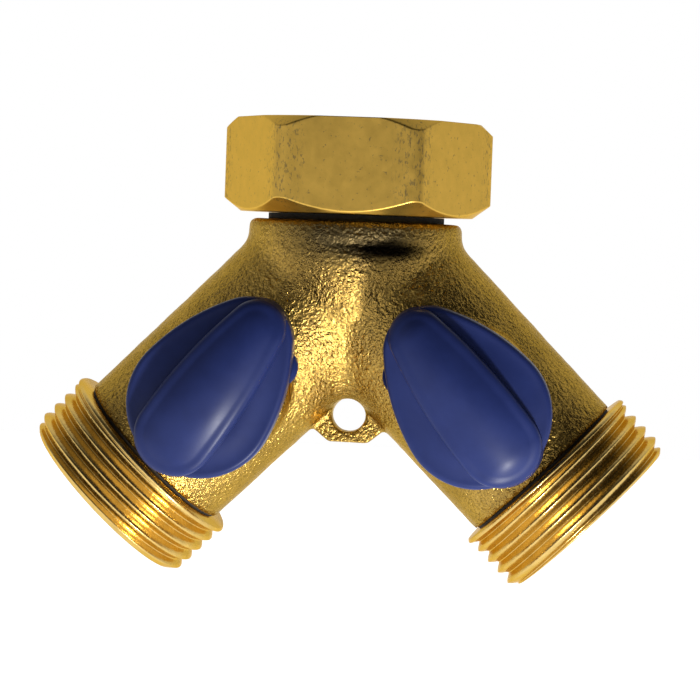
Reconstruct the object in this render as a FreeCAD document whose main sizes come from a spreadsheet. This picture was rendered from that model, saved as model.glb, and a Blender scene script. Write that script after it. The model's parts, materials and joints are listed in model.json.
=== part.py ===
import FreeCAD, Part
"""Garden hose splitter: a Y-shaped brass fitting with a swivel inlet nut and two ball valves.

The frame: +Z points up along the inlet axis and the origin is on that axis, on the inlet
washer's sealing face.  The two arms run down to the left (-X) and right (+X) in the plane
Y = 0, and the knobs face -Y.  Lengths are millimetres and angles degrees.
"""
import math
import os
import re

import Sketcher
from FreeCAD import Placement, Rotation, Vector

# Driving dimensions: name, value, what it is.
DIMENSIONS = (
    ("pitch", 1.814, "G 3/4 pipe thread, 14 threads per inch"),
    ("thread_radius", 13.22, "male thread over its crests"),
    ("root_radius", 12.06, "male thread at its roots, and female thread at its crests"),
    ("crest_slack", 0.18, "how far the female crests are cut back"),
    ("root_slack", 0.08, "how far the female roots clear the male crests"),
    ("groove_mouth", 0.87, "half of the female thread's groove at the crests"),
    ("groove_floor", 0.24, "half of that groove at its floor"),
    ("ridge_foot", 0.82, "half of the male thread's ridge at the roots"),
    ("ridge_shoulder", 0.26, "half of that ridge where its crest is rounded"),
    ("crest_rise", 0.17, "rounded crest's foot below the thread's radius"),
    ("crest_rounding", 0.3, "radius of the rounded crest"),
    ("nut_flats", 30, "hexagon across its flats"),
    ("nut_corner", 2.5, "rounding of the hexagon's corners"),
    ("nut_height", 11.8, "whole nut"),
    ("nut_mouth", 5.5, "nut's mouth above the sealing face"),
    ("nut_top_circle", 15.5, "radius left by the chamfer at the mouth"),
    ("nut_top_chamfer", 1.35, "height of that chamfer"),
    ("nut_chamfer_reach", 1.45, "how far it cuts a corner back"),
    ("nut_foot_circle", 14.7, "radius left by the chamfer at the lip"),
    ("nut_foot_chamfer", 1.7, "height of that chamfer"),
    ("nut_foot_reach", 2.25, "how far it cuts a corner back"),
    ("nut_countersink", 1, "depth of the countersink at the mouth"),
    ("lip_height", 1.5, "inward lip that holds the nut on the neck"),
    ("lip_gap", 0.25, "radial gap between the lip and the neck"),
    ("land_height", 1.2, "plain ring at the inner end of the nut's thread"),
    ("washer_radius", 12.3, "inlet washer, outside"),
    ("washer_bore", 7.5, "inlet washer, inside"),
    ("washer_height", 2.5, "inlet washer, thickness"),
    ("washer_rounding", 0.3, "inlet washer, edges"),
    ("pocket_radius", 12.6, "nut's pocket round the washer"),
    ("neck_radius", 9.8, "neck that the nut turns on"),
    ("neck_bore", 7, "water way through the neck"),
    ("snap_bore", 8.7, "snap ring, inside, in its groove"),
    ("snap_radius", 11.6, "snap ring, outside"),
    ("snap_height", 1.1, "snap ring, thickness"),
    ("snap_gap", 0.05, "snap ring in its groove"),
    ("snap_mouth", 24, "angle of the snap ring's gap"),
    ("slide_gap", 0.1, "gap between parts that slide on each other's faces"),
    ("neck_ring_radius", 11.15, "black ring under the nut, outside"),
    ("neck_ring_height", 0.75, "black ring under the nut, thickness"),
    ("collar_radius", 13.5, "round collar under the nut"),
    ("collar_edge", 0.9, "rounding of the collar's upper edge"),
    ("collar_side", 2.6, "straight side of the collar"),
    ("bulb_radius", 20, "curve of the casting below the collar"),
    ("branch_blend", 3, "blends from the collar to the arms and between the arms"),
    ("branch_depth", 12.7, "where the arms' axes meet, below the sealing face"),
    ("branch_angle", 45, "each arm from straight down"),
    ("arm_start", 4.5, "branch point to where an arm's outside begins"),
    ("arm_radius", 11.55, "arm where it leaves the branch"),
    ("arm_end_radius", 11.35, "arm at its outer end"),
    ("arm_length", 34.95, "branch point to the arm's end face"),
    ("valve_station", 21.5, "branch point to the ball's centre, along the arm"),
    ("branch_bore", 4.9, "water way from the branch to the inner seat"),
    ("chamber_radius", 8.4, "bore that holds the seats and the ball"),
    ("ball_radius", 7.5, "ball"),
    ("port_radius", 4.5, "water way through the ball and the seats"),
    ("seat_gap", 0.05, "ball to seat"),
    ("seat_back", 7.6, "ball's centre to the back of a seat"),
    ("seat_front", 3.7, "ball's centre to the front of a seat"),
    ("slot_width", 3.2, "slot in the ball for the stem's tang"),
    ("slot_depth", 2, "depth of that slot"),
    ("tang_gap", 0.1, "tang in its slot"),
    ("tang_length", 6.4, "tang along its slot"),
    ("flange_radius", 4.6, "stem's flange, inside the arm"),
    ("flange_start", 8.45, "valve axis height where the flange begins"),
    ("flange_height", 1, "thickness of the flange"),
    ("thrust_height", 0.4, "thrust washer on the flange"),
    ("spotface_radius", 4.9, "flat recess in the arm's wall for the flange"),
    ("stem_radius", 3.4, "stem in its hole"),
    ("stem_gap", 0.05, "running clearance of the stem"),
    ("stem_square", 4.6, "square end that drives the knob, across its flats"),
    ("stem_top", 19, "end of the stem above the arm's axis"),
    ("socket_gap", 0.05, "square end in the knob's socket"),
    ("barb_radius", 2.55, "snap groove round the square end, at its floor"),
    ("barb_start", 16.2, "height of that groove above the arm's axis"),
    ("barb_height", 1, "width of that groove"),
    ("seal_section", 0.42, "radius of a stem seal's section"),
    ("seal_groove", 1, "width of a stem seal's groove"),
    ("seal_low", 10.5, "height of the inner stem seal"),
    ("seal_high", 12.1, "height of the outer stem seal"),
    ("boss_radius", 8.6, "round boss under the knob"),
    ("boss_top", 13, "height of the boss above the arm's axis"),
    ("boss_blend", 1.2, "blend from the boss to the arm"),
    ("boss_edge", 0.5, "rounding of the boss's upper edge"),
    ("stop_inner", 5.4, "stop block on the boss, inner radius"),
    ("stop_outer", 6.9, "stop block on the boss, outer radius"),
    ("stop_root", 1, "stop block sunk in the boss"),
    ("stop_height", 1.1, "stop block above the boss"),
    ("stop_gap", 0.25, "stop block to its slot's walls and floor"),
    ("stop_half_angle", 9, "half of the angle that the block fills"),
    ("stop_slack", 2, "angle left at each end of the block's slot"),
    ("valve_turn", 90, "from open to shut"),
    ("left_turn", 9.5, "left knob from open, as stored"),
    ("right_turn", 5.5, "right knob from open, as stored"),
    ("knob_start", 13.2, "knob's foot above the arm's axis"),
    ("skirt_radius", 8, "round foot of the knob"),
    ("skirt_height", 1.5, "height of that foot"),
    ("lug_reach", 10.3, "stop lug on the knob's foot, from the valve's axis"),
    ("lug_radius", 2.6, "rounded end of the lug"),
    ("lug_angle", 35, "lug from the knob's narrow end"),
    ("knob_length", 24.6, "knob along its ridge"),
    ("knob_wide_radius", 9.35, "knob's wide end"),
    ("knob_narrow_radius", 5, "knob's narrow end"),
    ("knob_side_radius", 26, "knob's long sides"),
    ("knob_wing_height", 3.6, "knob's wings, from their underside"),
    ("knob_wing_rounding", 0.6, "rounding of the wings' upper edge"),
    ("ridge_height", 7.8, "finger ridge, from the wings' underside"),
    ("ridge_narrow", 2.9, "half of the ridge's width at the narrow end"),
    ("ridge_wide", 4.5, "half of the ridge's width at the wide end"),
    ("ridge_set_back", 1.3, "ridge's corners, from the knob's ends"),
    ("ridge_dome", 24, "radius of the ridge's top, along its length"),
    ("ridge_rounding", 0.6, "rounding of the ridge's upper edges"),
    ("valley_depth", 1.2, "dished wings, below their rim"),
    ("valley_rim", 1.5, "width of that rim"),
    ("joint_seal_radius", 11, "flat seal behind an outlet, outside"),
    ("joint_seal_height", 0.35, "thickness of that seal"),
    ("spigot_radius", 9.5, "outlet's spigot inside the arm"),
    ("outlet_length", 8.4, "outlet beyond its seal"),
    ("outlet_land", 1, "plain ring between the outlet's seal and its thread"),
    ("outlet_chamfer", 1, "chamfer at the outlet's mouth"),
    ("outlet_mouth", 8, "radius of the outlet's mouth"),
    ("outlet_mouth_depth", 4, "depth of that mouth"),
    ("hexagon_flats", 12, "hexagon socket that the outlet is screwed in with"),
    ("hexagon_depth", 4.5, "depth of that socket"),
    ("ear_thickness", 3, "ear between the arms"),
    ("ear_reach", 22.5, "lower edge of the ear below the branch point"),
    ("ear_edge", 2.5, "half of the ear's straight lower edge"),
    ("ear_half_width", 5.2, "half of the ear where it leaves the arms"),
    ("ear_corner_rise", 2.2, "height of the ear's slanted corners"),
    ("hole_radius", 2.15, "hanging hole in the ear"),
    ("hole_drop", 19, "hanging hole below the branch point"),
)
NAMES = {name for name, _, _ in DIMENSIONS}
SIDES = (("left", -1), ("right", 1))

document = FreeCAD.newDocument("hose_splitter")


# ---------------------------------------------------------------- the sheet and its names


def make_sheet():
    """A spreadsheet with one named row for each driving dimension."""
    sheet = document.addObject("Spreadsheet::Sheet", "Dimensions")
    for row, (name, size, meaning) in enumerate(DIMENSIONS, 1):
        sheet.set(f"A{row}", meaning)
        sheet.set(f"B{row}", str(size))
        sheet.setAlias(f"B{row}", name)
    document.recompute()
    return sheet


dimensions = make_sheet()


def bound(text):
    """An expression in dimension names, spelled the way other objects refer to the sheet."""
    return re.sub(r"[a-z_]+", lambda word: prefixed(word.group()), str(text))


def prefixed(word):
    return f"Dimensions.{word}" if word in NAMES else word


def number(text):
    """What an expression in dimension names comes to."""
    return float(dimensions.evalExpression(str(text)))


# ---------------------------------------------------------------- bodies and sketches


def new_body(label):
    body = document.addObject("PartDesign::Body", label)
    body.Label = label
    return body


def add(body, kind, name, **settings):
    """A PartDesign feature; text settings starting with = are bound to the sheet."""
    feature = body.newObject(f"PartDesign::{kind}", name)
    for key, setting in settings.items():
        if isinstance(setting, str) and setting.startswith("="):
            feature.setExpression(key, bound(setting[1:]))
        else:
            setattr(feature, key, setting)
    return feature


def new_sketch(body, role, name, across="0", along="0", out="0", turn="0"):
    """A sketch on one of the body's origin planes, moved and turned within it by expressions."""
    sketch = body.newObject("Sketcher::SketchObject", name)
    plane = next(item for item in body.Origin.OriginFeatures if item.Role == role)
    sketch.AttachmentSupport = [(plane, "")]
    sketch.MapMode = "FlatFace"
    for key, text in (("Base.x", across), ("Base.y", along), ("Base.z", out), ("Rotation.Angle", turn)):
        if text != "0":
            sketch.setExpression(f"AttachmentOffset.{key}", bound(text))
    return sketch


def arc_between(start, end, radius, side):
    """The short arc between two points that bulges to the left (+1) or right (-1) of the way."""
    middle = (start + end) / 2
    half = (end - start).Length / 2
    left = Vector(start.y - end.y, end.x - start.x, 0).normalize()
    sagitta = radius - math.sqrt(max(radius**2 - half**2, 0))
    return Part.Arc(start, middle + left * side * sagitta, end)


def pin_down(sketch, edge, vertex, axis, text):
    """Bind one coordinate of a vertex to an expression, or put it on the axis when it is 0."""
    if abs(number(text)) < 1e-9:
        other_axis = -2 if axis == "X" else -1
        sketch.addConstraint(Sketcher.Constraint("PointOnObject", edge, vertex, other_axis))
        return
    index = sketch.addConstraint(
        Sketcher.Constraint(f"Distance{axis}", -1, 1, edge, vertex, number(text))
    )
    sketch.setExpression(f"Constraints[{index}]", bound(text))


def outline(sketch, corners):
    """A closed outline through corners given as (across, along) expressions.

    A corner with two more values, a radius and a side, is reached along an arc that bulges
    to the left (+1) or right (-1) of the way there.
    """
    points = [Vector(number(corner[0]), number(corner[1]), 0) for corner in corners]
    ends = []
    for place, corner in enumerate(corners):
        start, end = points[place - 1], points[place]
        if len(corner) == 2:
            edge = sketch.addGeometry(Part.LineSegment(start, end))
            ends.append((edge, 1, 2))
            continue
        edge = sketch.addGeometry(arc_between(start, end, number(corner[2]), corner[3]))
        first = 1 if (sketch.getPoint(edge, 1) - start).Length < 1e-6 else 2
        ends.append((edge, first, 3 - first))
    for place, (edge, _, last) in enumerate(ends):
        following, first, _ = ends[(place + 1) % len(ends)]
        sketch.addConstraint(Sketcher.Constraint("Coincident", edge, last, following, first))
        pin_down(sketch, edge, last, "X", corners[place][0])
        pin_down(sketch, edge, last, "Y", corners[place][1])
        if len(corners[place]) == 4:
            radius = corners[place][2]
            index = sketch.addConstraint(Sketcher.Constraint("Radius", edge, number(radius)))
            sketch.setExpression(f"Constraints[{index}]", bound(radius))
    return sketch


def circle(sketch, radius, across="0", along="0"):
    """A circle whose centre and radius are expressions."""
    centre = Vector(number(across), number(along), 0)
    edge = sketch.addGeometry(Part.Circle(centre, Vector(0, 0, 1), number(radius)))
    pin_down(sketch, edge, 3, "X", across)
    pin_down(sketch, edge, 3, "Y", along)
    index = sketch.addConstraint(Sketcher.Constraint("Radius", edge, number(radius)))
    sketch.setExpression(f"Constraints[{index}]", bound(radius))
    return sketch


def turned(body, name, corners, kind="Revolution", angle=360, plane="XZ_Plane", **place):
    """Material turned, or a groove cut, round the vertical axis of an outline in a plane."""
    sketch = outline(new_sketch(body, plane, f"{name}_outline", **place), corners)
    return add(body, kind, name, Profile=sketch, ReferenceAxis=(sketch, ["V_Axis"]), Angle=angle)


def grooved(body, name, corners, **place):
    return turned(body, name, corners, "Groove", **place)


def ring(label, inner, outer, low, high):
    """A flat ring round its own Z axis, between two heights."""
    body = new_body(label)
    turned(body, "ring", [(inner, low), (outer, low), (outer, high), (inner, high)])
    return body


def thread(body, name, kind, corners, start, height):
    """A helical ridge or groove whose section is given at the thread's start."""
    sketch = new_sketch(body, "XZ_Plane", f"{name}_section", along=start)
    outline(sketch, corners)
    return add(
        body, kind, name, Profile=sketch, ReferenceAxis=(sketch, ["V_Axis"]),
        Mode="pitch-height-angle", Pitch="=pitch", Height=f"={height}", Angle=0, LeftHanded=False,
    )


def edges_where(feature, wanted):
    """The names of a feature's edges for which wanted(edge) is true."""
    return [f"Edge{place}" for place, edge in enumerate(feature.Shape.Edges, 1) if wanted(edge)]


def rounded(body, name, radius, wanted, kind="Fillet"):
    """A fillet or chamfer on the edges of the body's last feature that wanted(edge) picks."""
    document.recompute()
    base = body.Tip
    size = "Radius" if kind == "Fillet" else "Size"
    return add(body, kind, name, Base=(base, edges_where(base, wanted)), **{size: f"={radius}"})


def filled(body, name, sketch, length, kind="Pad", **settings):
    """A pad, or a pocket in the same direction, of a sketch."""
    if kind == "Pocket":
        settings["Reversed"] = True
    return add(body, kind, name, Profile=sketch, Length=f"={length}", **settings)


# ---------------------------------------------------------------- places


BRANCH_POINT = Vector(0, 0, -number("branch_depth"))


def along_arm(side, distance):
    """A point on an arm's axis."""
    angle = math.radians(number("branch_angle"))
    return BRANCH_POINT + Vector(side * math.sin(angle), 0, -math.cos(angle)) * distance


def lay_in_arm(body, side, distance=0):
    """Put a piece in an arm: its own Z axis runs outwards along the arm."""
    turn = Rotation(Vector(0, 1, 0), side * (180 - number("branch_angle")))
    body.Placement = Placement(along_arm(side, distance), turn)


def set_on_valve(body, side, turned_by=0):
    """Put a piece on a valve's axis: its own Z runs towards the knob and its Y up the arm.

    turned_by is the angle from open, towards shut.
    """
    turn = Rotation(Vector(0, 1, 0), -side * (number("branch_angle") - turned_by))
    upright = Rotation(Vector(1, 0, 0), 90)
    body.Placement = Placement(along_arm(side, number("valve_station")), turn * upright)


def arm_frame(side):
    """Where a sketch in the XZ plane lies when its vertical axis is an arm's axis."""
    return {"along": "-branch_depth", "turn": f"180 + {side} * branch_angle"}


# ---------------------------------------------------------------- the inlet


NUT_FOOT = "(nut_mouth - nut_height)"
COLLAR_TOP = "(nut_mouth - nut_height - slide_gap - neck_ring_height)"
SNAP_FOOT = "(nut_mouth - nut_height + lip_height + slide_gap)"


def swivel_nut():
    """Hexagon nut with the female thread, a pocket for the washer and a lip at its foot."""
    body = new_body("swivel_nut")
    sketch = new_sketch(body, "XY_Plane", "hexagon", out=NUT_FOOT)
    corner = "nut_flats / sqrt(3)"
    outline(sketch, [(f"{corner} * cos({60 * k})", f"{corner} * sin({60 * k})") for k in range(6)])
    filled(body, "blank", sketch, "nut_height")
    rounded(body, "corners", "nut_corner", lambda edge: edge.BoundBox.ZLength > 1)
    clear = "(nut_flats * 0.7)"
    grooved(body, "mouth_chamfer", [
        ("nut_top_circle", "nut_mouth"),
        (clear, f"nut_mouth - ({clear} - nut_top_circle) * nut_top_chamfer / nut_chamfer_reach"),
        (clear, "nut_mouth"),
    ])
    grooved(body, "foot_chamfer", [
        ("nut_foot_circle", NUT_FOOT),
        (clear, NUT_FOOT),
        (clear, f"{NUT_FOOT} + ({clear} - nut_foot_circle) * nut_foot_chamfer / nut_foot_reach"),
    ])
    grooved(body, "inside", [
        ("0", NUT_FOOT),
        ("neck_radius + lip_gap", NUT_FOOT),
        ("neck_radius + lip_gap", f"{NUT_FOOT} + lip_height"),
        ("pocket_radius", f"{NUT_FOOT} + lip_height"),
        ("pocket_radius", "0"),
        ("root_radius", "0"),
        ("root_radius", "land_height"),
        ("root_radius + crest_slack", "land_height"),
        ("root_radius + crest_slack", "nut_mouth - nut_countersink"),
        ("thread_radius + crest_slack", "nut_mouth"),
        ("0", "nut_mouth"),
    ])
    deep, shallow = "thread_radius + root_slack", "root_radius"
    thread(body, "thread", "SubtractiveHelix", [
        (shallow, "-groove_mouth"),
        (deep, "-groove_floor"),
        (deep, "groove_floor"),
        (shallow, "groove_mouth"),
    ], "land_height + pitch / 2", "nut_mouth")
    return body


def neck_ring():
    """Black ring that fills the gap between the nut's foot and the collar."""
    top = f"{COLLAR_TOP} + neck_ring_height"
    return ring("neck_ring", "neck_radius", "neck_ring_radius", COLLAR_TOP, top)


def snap_ring():
    """Open ring in the neck's groove: the nut's lip hangs on it."""
    body = new_body("snap_ring")
    turned(body, "ring", [
        ("snap_bore", SNAP_FOOT),
        ("snap_radius", SNAP_FOOT),
        ("snap_radius", f"{SNAP_FOOT} + snap_height"),
        ("snap_bore", f"{SNAP_FOOT} + snap_height"),
    ], angle=360 - number("snap_mouth"))
    return body


def inlet_washer():
    """Rubber washer on the end of the neck; its upper face is the sealing face."""
    body = ring("inlet_washer", "washer_bore", "washer_radius", "-washer_height", "0")
    rounded(body, "edges", "washer_rounding", lambda edge: edge.BoundBox.ZLength < 1e-6)
    return body


# ---------------------------------------------------------------- the casting


def splitter_body():
    """The Y-shaped casting, with its bosses, stops, ear and water ways."""
    body = new_body("splitter_body")
    cast_neck(body)
    for side_name, side in SIDES:
        cast_arm(body, side_name, side)
    blend_casting(body)
    cast_ear(body)
    bore_inlet(body)
    for side_name, side in SIDES:
        bore_arm(body, side_name, side)
    for side_name, side in SIDES:
        cast_stop(body, side_name, side)
    return body


def cast_neck(body):
    """Neck and collar, ending in a bulb round the branch point."""
    side_foot = f"({COLLAR_TOP} - collar_side)"
    bulb_foot = f"{side_foot} - sqrt(bulb_radius ^ 2 - (bulb_radius - collar_radius) ^ 2)"
    turned(body, "neck", [
        ("0", "-washer_height"),
        ("neck_radius", "-washer_height"),
        ("neck_radius", COLLAR_TOP),
        ("collar_radius - collar_edge", COLLAR_TOP),
        ("collar_radius", f"{COLLAR_TOP} - collar_edge", "collar_edge", 1),
        ("collar_radius", side_foot),
        ("0", bulb_foot, "bulb_radius", 1),
    ])


def cast_arm(body, side_name, side):
    """One arm, slightly tapered, and the round boss that carries its knob."""
    turned(body, f"{side_name}_arm", [
        ("0", "arm_start"),
        ("arm_radius", "arm_start"),
        ("arm_end_radius", "arm_length"),
        ("0", "arm_length"),
    ], **arm_frame(side))
    boss = circle(
        new_sketch(body, "XZ_Plane", f"{side_name}_boss_outline", **arm_frame(side)),
        "boss_radius", along="valve_station",
    )
    filled(body, f"{side_name}_boss", boss, "boss_top")


def middle_of(edge):
    return edge.valueAt((edge.FirstParameter + edge.LastParameter) / 2)


def is_seam(edge):
    """Whether an edge is where two curved surfaces cut each other."""
    return edge.Curve.TypeId == "Part::GeomBSplineCurve"


def blend_casting(body):
    """Round the casting's seams, at the branch and at the bosses, and the bosses' upper edges."""
    shortest = number("boss_radius * 2 * pi")
    rounded(body, "branch_blend", "branch_blend", lambda edge: is_seam(edge) and edge.Length < shortest)
    rounded(body, "boss_blend", "boss_blend", lambda edge: is_seam(edge) and edge.Length > shortest)
    boss_face = -number("boss_top")
    rounded(body, "boss_edge", "boss_edge", lambda edge: abs(middle_of(edge).y - boss_face) < 0.01)


def cast_ear(body):
    """Flat ear between the arms, with the hanging hole."""
    ear = new_sketch(body, "XZ_Plane", "ear_outline", along="-branch_depth")
    outline(ear, [
        ("-ear_edge", "-ear_reach"),
        ("ear_edge", "-ear_reach"),
        ("ear_half_width", "ear_corner_rise - ear_reach"),
        ("ear_half_width", "-arm_radius"),
        ("-ear_half_width", "-arm_radius"),
        ("-ear_half_width", "ear_corner_rise - ear_reach"),
    ])
    filled(body, "ear", ear, "ear_thickness", Midplane=True)
    hole = new_sketch(body, "XZ_Plane", "hole_outline", along="-branch_depth")
    circle(hole, "hole_radius", along="-hole_drop")
    filled(body, "hanging_hole", hole, "arm_radius * 2", "Pocket", Midplane=True)


def bore_inlet(body):
    """Water way down the neck, rounded at its foot, and the snap ring's groove."""
    grooved(body, "inlet_bore", [
        ("0", "-washer_height"),
        ("0", "-branch_depth - neck_bore"),
        ("neck_bore", "-branch_depth", "neck_bore", -1),
        ("neck_bore", "-washer_height"),
    ])
    groove_foot = f"({SNAP_FOOT} - snap_gap)"
    groove_top = f"({SNAP_FOOT} + snap_height + snap_gap)"
    grooved(body, "snap_groove", [
        ("snap_bore", groove_foot),
        ("neck_radius * 1.1", groove_foot),
        ("neck_radius * 1.1", groove_top),
        ("snap_bore", groove_top),
    ])


def bore_arm(body, side_name, side):
    """Stepped bore of one arm, with the stem's hole and its flat recess."""
    inner = "(valve_station - seat_back)"
    outer = "(valve_station + seat_back)"
    grooved(body, f"{side_name}_bore", [
        ("0", "0"),
        ("branch_bore", "0"),
        ("branch_bore", inner),
        ("chamber_radius", inner),
        ("chamber_radius", outer),
        ("spigot_radius", outer),
        ("spigot_radius", "arm_length"),
        ("0", "arm_length"),
    ], **arm_frame(side))
    for name, radius, top in (
        ("recess", "spotface_radius", "flange_start + flange_height + thrust_height + slide_gap"),
        ("stem_hole", "stem_radius + stem_gap", "boss_top * 1.1"),
    ):
        sketch = new_sketch(body, "XZ_Plane", f"{side_name}_{name}_outline", **arm_frame(side))
        circle(sketch, radius, along="valve_station")
        filled(body, f"{side_name}_{name}", sketch, top, "Pocket")


def ring_sector(sketch, inner, outer, start, end, middle="0"):
    """The outline of part of a ring, from one angle to a larger one, measured from +X."""
    def corner(radius, angle):
        return f"{radius} * cos({angle})", f"{middle} + {radius} * sin({angle})"
    return outline(sketch, [
        corner(outer, start),
        (*corner(outer, end), outer, -1),
        corner(inner, end),
        (*corner(inner, start), inner, 1),
    ])


def cast_stop(body, side_name, side):
    """Block on the boss that runs in the slot under the knob and ends its turn."""
    sketch = new_sketch(
        body, "XZ_Plane", f"{side_name}_stop_outline", out="boss_top - stop_root", **arm_frame(side)
    )
    ring_sector(
        sketch, "stop_inner", "stop_outer", "90 - stop_half_angle", "90 + stop_half_angle", "valve_station"
    )
    filled(body, f"{side_name}_stop", sketch, "stop_root + stop_height")


# ---------------------------------------------------------------- the valves


def seat(side_name, side, place_name, facing):
    """PTFE ring that bears on the ball; facing is +1 beyond the ball and -1 before it."""
    body = new_body(f"{side_name}_{place_name}_seat")
    sphere = "(ball_radius + seat_gap)"
    back, front = f"{facing} * seat_back", f"{facing} * seat_front"
    turned(body, "ring", [
        ("port_radius", back),
        ("chamber_radius", back),
        ("chamber_radius", front),
        (f"sqrt({sphere} ^ 2 - seat_front ^ 2)", front),
        ("port_radius", f"{facing} * sqrt({sphere} ^ 2 - port_radius ^ 2)", sphere, -facing),
    ])
    lay_in_arm(body, side, number("valve_station"))
    return body


def ball(side_name, side, turned_by):
    """Ball with its water way along the local Y axis and a slot for the stem across its top."""
    body = new_body(f"{side_name}_ball")
    reach = "sqrt(ball_radius ^ 2 - port_radius ^ 2)"
    turned(body, "ball", [
        ("port_radius", f"-{reach}"),
        ("port_radius", reach, "ball_radius", -1),
    ], plane="XY_Plane")
    slot = new_sketch(body, "XY_Plane", "slot_outline", out="ball_radius - slot_depth")
    rectangle(slot, "ball_radius", "slot_width / 2")
    filled(body, "slot", slot, "slot_depth * 2", "Pocket")
    set_on_valve(body, side, turned_by)
    return body


def rectangle(sketch, half_across, half_along):
    return outline(sketch, [
        (f"-{half_across}", f"-{half_along}"),
        (half_across, f"-{half_along}"),
        (half_across, half_along),
        (f"-{half_across}", half_along),
    ])


def stem(side_name, side, turned_by):
    """Stem with its tang in the ball, a flange inside the arm and a square end for the knob."""
    body = new_body(f"{side_name}_stem")
    shaft_foot = "flange_start + flange_height"
    turned(body, "shaft", [
        ("0", "flange_start"),
        ("flange_radius", "flange_start"),
        ("flange_radius", shaft_foot),
        ("stem_radius", shaft_foot),
        ("stem_radius", "knob_start"),
        ("0", "knob_start"),
    ])
    for name, height in (("inner", "seal_low"), ("outer", "seal_high")):
        floor = "stem_radius - seal_section * 2"
        grooved(body, f"{name}_seal_groove", [
            (floor, f"{height} - seal_groove / 2"),
            ("stem_radius * 1.1", f"{height} - seal_groove / 2"),
            ("stem_radius * 1.1", f"{height} + seal_groove / 2"),
            (floor, f"{height} + seal_groove / 2"),
        ])
    tang_foot = "(ball_radius - slot_depth + tang_gap)"
    tang = new_sketch(body, "XY_Plane", "tang_outline", out=tang_foot)
    rectangle(tang, "tang_length / 2", "(slot_width / 2 - tang_gap)")
    filled(body, "tang", tang, f"flange_start - {tang_foot}")
    square = new_sketch(body, "XY_Plane", "square_outline", out="knob_start")
    rectangle(square, "stem_square / 2", "stem_square / 2")
    filled(body, "square", square, "stem_top - knob_start")
    grooved(body, "snap_groove", [
        ("barb_radius", "barb_start"),
        ("stem_square", "barb_start"),
        ("stem_square", "barb_start + barb_height"),
        ("barb_radius", "barb_start + barb_height"),
    ])
    set_on_valve(body, side, turned_by)
    return body


def thrust_washer(side_name, side, turned_by):
    """PTFE washer between the stem's flange and the arm's wall."""
    foot = "flange_start + flange_height"
    label = f"{side_name}_thrust_washer"
    body = ring(label, "stem_radius", "flange_radius", foot, f"{foot} + thrust_height")
    set_on_valve(body, side, turned_by)
    return body


def stem_seal(side_name, side, turned_by, place_name, height):
    """Rubber O-ring in one of the stem's grooves."""
    body = new_body(f"{side_name}_{place_name}_stem_seal")
    sketch = new_sketch(body, "XZ_Plane", "section")
    circle(sketch, "seal_section", "stem_radius - seal_section", height)
    add(body, "Revolution", "seal", Profile=sketch, ReferenceAxis=(sketch, ["V_Axis"]), Angle=360)
    set_on_valve(body, side, turned_by)
    return body


# ---------------------------------------------------------------- the knobs


def egg(sketch, inset="0"):
    """The knob's plan: a wide and a narrow round end joined by long arcs tangent to both."""
    wide = f"(knob_wide_radius - {inset})"
    narrow = f"(knob_narrow_radius - {inset})"
    long = f"(knob_side_radius - {inset})"
    low = "(knob_wide_radius - knob_length / 2)"
    high = "(knob_length / 2 - knob_narrow_radius)"
    apart = "(knob_length - knob_wide_radius - knob_narrow_radius)"
    to_wide = "(knob_side_radius - knob_wide_radius)"
    to_narrow = "(knob_side_radius - knob_narrow_radius)"
    # the long arc's centre lies this far below the wide end's centre and beyond the middle line
    drop = f"(({to_narrow} ^ 2 - {to_wide} ^ 2 - {apart} ^ 2) / (2 * {apart}))"
    reach = f"sqrt({to_wide} ^ 2 - {drop} ^ 2)"
    wide_x, wide_y = f"{wide} * {reach} / {to_wide}", f"{low} + {wide} * {drop} / {to_wide}"
    narrow_x = f"{narrow} * {reach} / {to_narrow}"
    narrow_y = f"{high} + {narrow} * ({drop} + {apart}) / {to_narrow}"
    foot, tip = f"{low} - {wide}", f"{high} + {narrow}"
    return outline(sketch, [
        (wide_x, wide_y, wide, -1),
        (narrow_x, narrow_y, long, -1),
        ("0", tip, narrow, -1),
        (f"-{narrow_x}", narrow_y, narrow, -1),
        (f"-{wide_x}", wide_y, long, -1),
        ("0", foot, wide, -1),
    ])


def knob(side_name, side, turned_by):
    """Egg-shaped knob: round foot with a stop lug, dished wings and a finger ridge."""
    body = new_body(f"{side_name}_knob")
    wings_foot = "(knob_start + skirt_height)"
    foot = circle(new_sketch(body, "XY_Plane", "foot_outline", out="knob_start"), "skirt_radius")
    filled(body, "foot", foot, "skirt_height")
    lug = new_sketch(body, "XY_Plane", "lug_outline", out="knob_start")
    reach = "(lug_reach - lug_radius)"
    circle(lug, "lug_radius", f"{-side} * {reach} * sin(lug_angle)", f"{reach} * cos(lug_angle)")
    filled(body, "lug", lug, "skirt_height")
    wings = egg(new_sketch(body, "XY_Plane", "wings_outline", out=wings_foot))
    filled(body, "wings", wings, "knob_wing_height")
    wings_top = number(f"{wings_foot} + knob_wing_height")
    rounded(body, "rim", "knob_wing_rounding", lambda edge: abs(middle_of(edge).z - wings_top) < 0.01)
    dish = new_sketch(
        body, "XY_Plane", "dish_outline", out=f"{wings_foot} + knob_wing_height - valley_depth"
    )
    filled(body, "dish", egg(dish, "valley_rim"), "knob_wing_height", "Pocket")
    raise_ridge(body, wings_foot)
    hollow_foot(body, side)
    set_on_valve(body, side, turned_by)
    return body


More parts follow.
